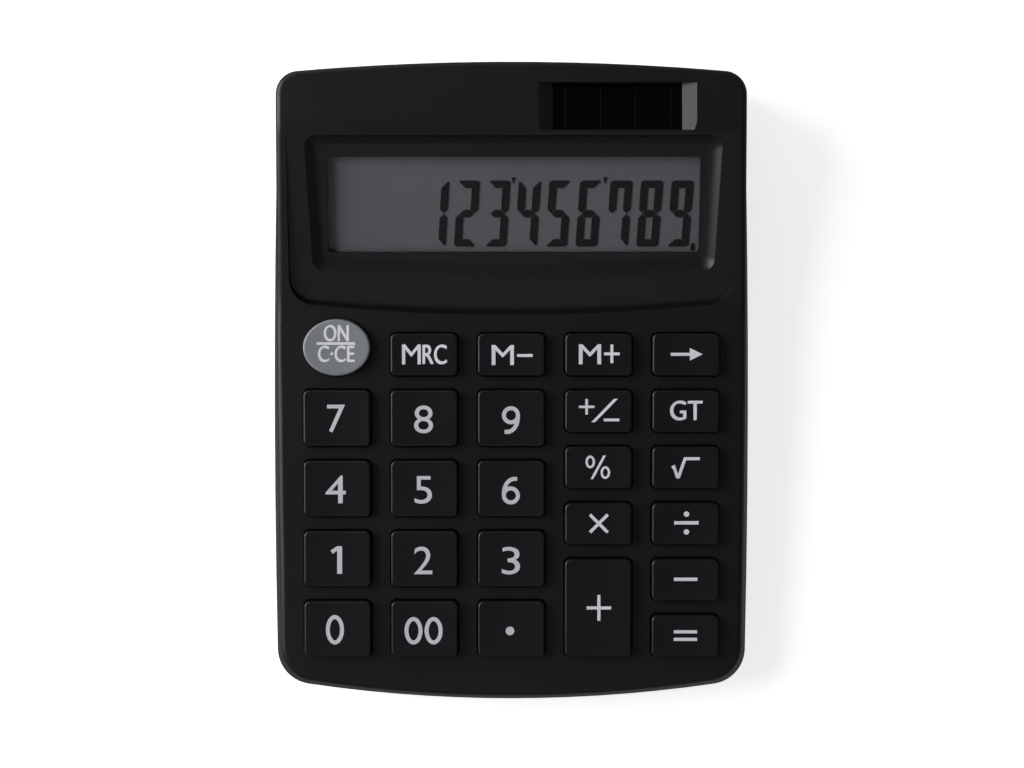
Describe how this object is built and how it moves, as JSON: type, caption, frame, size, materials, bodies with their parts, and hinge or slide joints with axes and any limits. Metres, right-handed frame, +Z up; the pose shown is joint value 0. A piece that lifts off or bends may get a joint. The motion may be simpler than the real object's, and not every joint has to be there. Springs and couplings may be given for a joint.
{
  "type": "desk calculator",
  "caption": "Wedge-shaped desk calculator with sprung keys, a recessed numeric display, a solar cell and a sliding battery door underneath.",
  "frame": {"origin": "middle of the footprint at table height, under the feet", "axes": "+Z up; +Y along the length away from the user, towards the display and solar cell; +X to the user's right"},
  "size_m": [0.105, 0.14, 0.0265],
  "materials": {
    "case_black": "fine moulded texture",
    "key_black": "satin",
    "key_grey": "satin",
    "clear_window": "clear polished",
    "lcd_panel": "smooth grey-green",
    "white_plastic": "as moulded",
    "flat_cable": "printed film",
    "solar_glass": "polished dark cell",
    "circuit_board": "solder resist",
    "carbon": "printed carbon",
    "grey_rubber": "moulded silicone",
    "epoxy": "cast epoxy",
    "capacitor_sleeve": "sleeve",
    "cell_steel": "plated",
    "contact_metal": "plated spring strip",
    "rubber_black": "matte",
    "screw_steel": "zinc plated",
    "wire_red": "PVC insulation",
    "wire_black": "PVC insulation"
  },
  "bodies": {
    "case": {"top_case": "case_black", "bottom_case": "case_black", "display_window": "clear_window", "display_glass": "lcd_panel", "display_holder": "white_plastic", "display_ribbon": "flat_cable", "solar_cell": "solar_glass", "solar_plate": "white_plastic", "circuit_board": "circuit_board", "contact_pads": "carbon", "dome_sheet": "grey_rubber", "controller": "epoxy", "capacitor": "capacitor_sleeve", "battery_cell": "cell_steel", "plus_contact": "contact_metal", "minus_contact": "contact_metal", "rubber_feet": "rubber_black", "case_screws": "screw_steel", "board_screws": "screw_steel", "holder_screws": "screw_steel", "solar_lead_plus": "wire_red", "solar_lead_minus": "wire_black", "battery_lead_plus": "wire_red", "battery_lead_minus": "wire_black"},
    "key_on": {"key_on": "key_grey"},
    "key_mrc": {"key_mrc": "key_black"},
    "key_m_minus": {"key_m_minus": "key_black"},
    "key_m_plus": {"key_m_plus": "key_black"},
    "key_backspace": {"key_backspace": "key_black"},
    "key_sign": {"key_sign": "key_black"},
    "key_total": {"key_total": "key_black"},
    "key_percent": {"key_percent": "key_black"},
    "key_root": {"key_root": "key_black"},
    "key_multiply": {"key_multiply": "key_black"},
    "key_divide": {"key_divide": "key_black"},
    "key_plus": {"key_plus": "key_black"},
    "key_minus": {"key_minus": "key_black"},
    "key_equals": {"key_equals": "key_black"},
    "key_7": {"key_7": "key_black"},
    "key_8": {"key_8": "key_black"},
    "key_9": {"key_9": "key_black"},
    "key_4": {"key_4": "key_black"},
    "key_5": {"key_5": "key_black"},
    "key_6": {"key_6": "key_black"},
    "key_1": {"key_1": "key_black"},
    "key_2": {"key_2": "key_black"},
    "key_3": {"key_3": "key_black"},
    "key_0": {"key_0": "key_black"},
    "key_00": {"key_00": "key_black"},
    "key_point": {"key_point": "key_black"},
    "door": {"battery_door": "case_black"}
  },
  "joints": [
    {"name": "press_on", "type": "slide", "parent": "case", "child": "key_on", "axis": [0, 0.0584, -0.9983], "range_m": [0, 0.001], "stiffness_N_per_m": 500, "springref_m": -0.0003, "deforming": ["dome_sheet"]},
    {"name": "press_mrc", "type": "slide", "parent": "case", "child": "key_mrc", "axis": [0, 0.0584, -0.9983], "range_m": [0, 0.001], "stiffness_N_per_m": 500, "springref_m": -0.0003, "deforming": ["dome_sheet"]},
    {"name": "press_m_minus", "type": "slide", "parent": "case", "child": "key_m_minus", "axis": [0, 0.0584, -0.9983], "range_m": [0, 0.001], "stiffness_N_per_m": 500, "springref_m": -0.0003, "deforming": ["dome_sheet"]},
    {"name": "press_m_plus", "type": "slide", "parent": "case", "child": "key_m_plus", "axis": [0, 0.0584, -0.9983], "range_m": [0, 0.001], "stiffness_N_per_m": 500, "springref_m": -0.0003, "deforming": ["dome_sheet"]},
    {"name": "press_backspace", "type": "slide", "parent": "case", "child": "key_backspace", "axis": [0, 0.0584, -0.9983], "range_m": [0, 0.001], "stiffness_N_per_m": 500, "springref_m": -0.0003, "deforming": ["dome_sheet"]},
    {"name": "press_sign", "type": "slide", "parent": "case", "child": "key_sign", "axis": [0, 0.0584, -0.9983], "range_m": [0, 0.001], "stiffness_N_per_m": 500, "springref_m": -0.0003, "deforming": ["dome_sheet"]},
    {"name": "press_total", "type": "slide", "parent": "case", "child": "key_total", "axis": [0, 0.0584, -0.9983], "range_m": [0, 0.001], "stiffness_N_per_m": 500, "springref_m": -0.0003, "deforming": ["dome_sheet"]},
    {"name": "press_percent", "type": "slide", "parent": "case", "child": "key_percent", "axis": [0, 0.0584, -0.9983], "range_m": [0, 0.001], "stiffness_N_per_m": 500, "springref_m": -0.0003, "deforming": ["dome_sheet"]},
    {"name": "press_root", "type": "slide", "parent": "case", "child": "key_root", "axis": [0, 0.0584, -0.9983], "range_m": [0, 0.001], "stiffness_N_per_m": 500, "springref_m": -0.0003, "deforming": ["dome_sheet"]},
    {"name": "press_multiply", "type": "slide", "parent": "case", "child": "key_multiply", "axis": [0, 0.0584, -0.9983], "range_m": [0, 0.001], "stiffness_N_per_m": 500, "springref_m": -0.0003, "deforming": ["dome_sheet"]},
    {"name": "press_divide", "type": "slide", "parent": "case", "child": "key_divide", "axis": [0, 0.0584, -0.9983], "range_m": [0, 0.001], "stiffness_N_per_m": 500, "springref_m": -0.0003, "deforming": ["dome_sheet"]},
    {"name": "press_plus", "type": "slide", "parent": "case", "child": "key_plus", "axis": [0, 0.0584, -0.9983], "range_m": [0, 0.001], "stiffness_N_per_m": 500, "springref_m": -0.0003, "deforming": ["dome_sheet"]},
    {"name": "press_minus", "type": "slide", "parent": "case", "child": "key_minus", "axis": [0, 0.0584, -0.9983], "range_m": [0, 0.001], "stiffness_N_per_m": 500, "springref_m": -0.0003, "deforming": ["dome_sheet"]},
    {"name": "press_equals", "type": "slide", "parent": "case", "child": "key_equals", "axis": [0, 0.0584, -0.9983], "range_m": [0, 0.001], "stiffness_N_per_m": 500, "springref_m": -0.0003, "deforming": ["dome_sheet"]},
    {"name": "press_7", "type": "slide", "parent": "case", "child": "key_7", "axis": [0, 0.0584, -0.9983], "range_m": [0, 0.001], "stiffness_N_per_m": 500, "springref_m": -0.0003, "deforming": ["dome_sheet"]},
    {"name": "press_8", "type": "slide", "parent": "case", "child": "key_8", "axis": [0, 0.0584, -0.9983], "range_m": [0, 0.001], "stiffness_N_per_m": 500, "springref_m": -0.0003, "deforming": ["dome_sheet"]},
    {"name": "press_9", "type": "slide", "parent": "case", "child": "key_9", "axis": [0, 0.0584, -0.9983], "range_m": [0, 0.001], "stiffness_N_per_m": 500, "springref_m": -0.0003, "deforming": ["dome_sheet"]},
    {"name": "press_4", "type": "slide", "parent": "case", "child": "key_4", "axis": [0, 0.0584, -0.9983], "range_m": [0, 0.001], "stiffness_N_per_m": 500, "springref_m": -0.0003, "deforming": ["dome_sheet"]},
    {"name": "press_5", "type": "slide", "parent": "case", "child": "key_5", "axis": [0, 0.0584, -0.9983], "range_m": [0, 0.001], "stiffness_N_per_m": 500, "springref_m": -0.0003, "deforming": ["dome_sheet"]},
    {"name": "press_6", "type": "slide", "parent": "case", "child": "key_6", "axis": [0, 0.0584, -0.9983], "range_m": [0, 0.001], "stiffness_N_per_m": 500, "springref_m": -0.0003, "deforming": ["dome_sheet"]},
    {"name": "press_1", "type": "slide", "parent": "case", "child": "key_1", "axis": [0, 0.0584, -0.9983], "range_m": [0, 0.001], "stiffness_N_per_m": 500, "springref_m": -0.0003, "deforming": ["dome_sheet"]},
    {"name": "press_2", "type": "slide", "parent": "case", "child": "key_2", "axis": [0, 0.0584, -0.9983], "range_m": [0, 0.001], "stiffness_N_per_m": 500, "springref_m": -0.0003, "deforming": ["dome_sheet"]},
    {"name": "press_3", "type": "slide", "parent": "case", "child": "key_3", "axis": [0, 0.0584, -0.9983], "range_m": [0, 0.001], "stiffness_N_per_m": 500, "springref_m": -0.0003, "deforming": ["dome_sheet"]},
    {"name": "press_0", "type": "slide", "parent": "case", "child": "key_0", "axis": [0, 0.0584, -0.9983], "range_m": [0, 0.001], "stiffness_N_per_m": 500, "springref_m": -0.0003, "deforming": ["dome_sheet"]},
    {"name": "press_00", "type": "slide", "parent": "case", "child": "key_00", "axis": [0, 0.0584, -0.9983], "range_m": [0, 0.001], "stiffness_N_per_m": 500, "springref_m": -0.0003, "deforming": ["dome_sheet"]},
    {"name": "press_point", "type": "slide", "parent": "case", "child": "key_point", "axis": [0, 0.0584, -0.9983], "range_m": [0, 0.001], "stiffness_N_per_m": 500, "springref_m": -0.0003, "deforming": ["dome_sheet"]},
    {"name": "door_slide", "type": "slide", "parent": "case", "child": "door", "axis": [0, 1, 0], "range_m": [0, 0.032]}
  ]
}
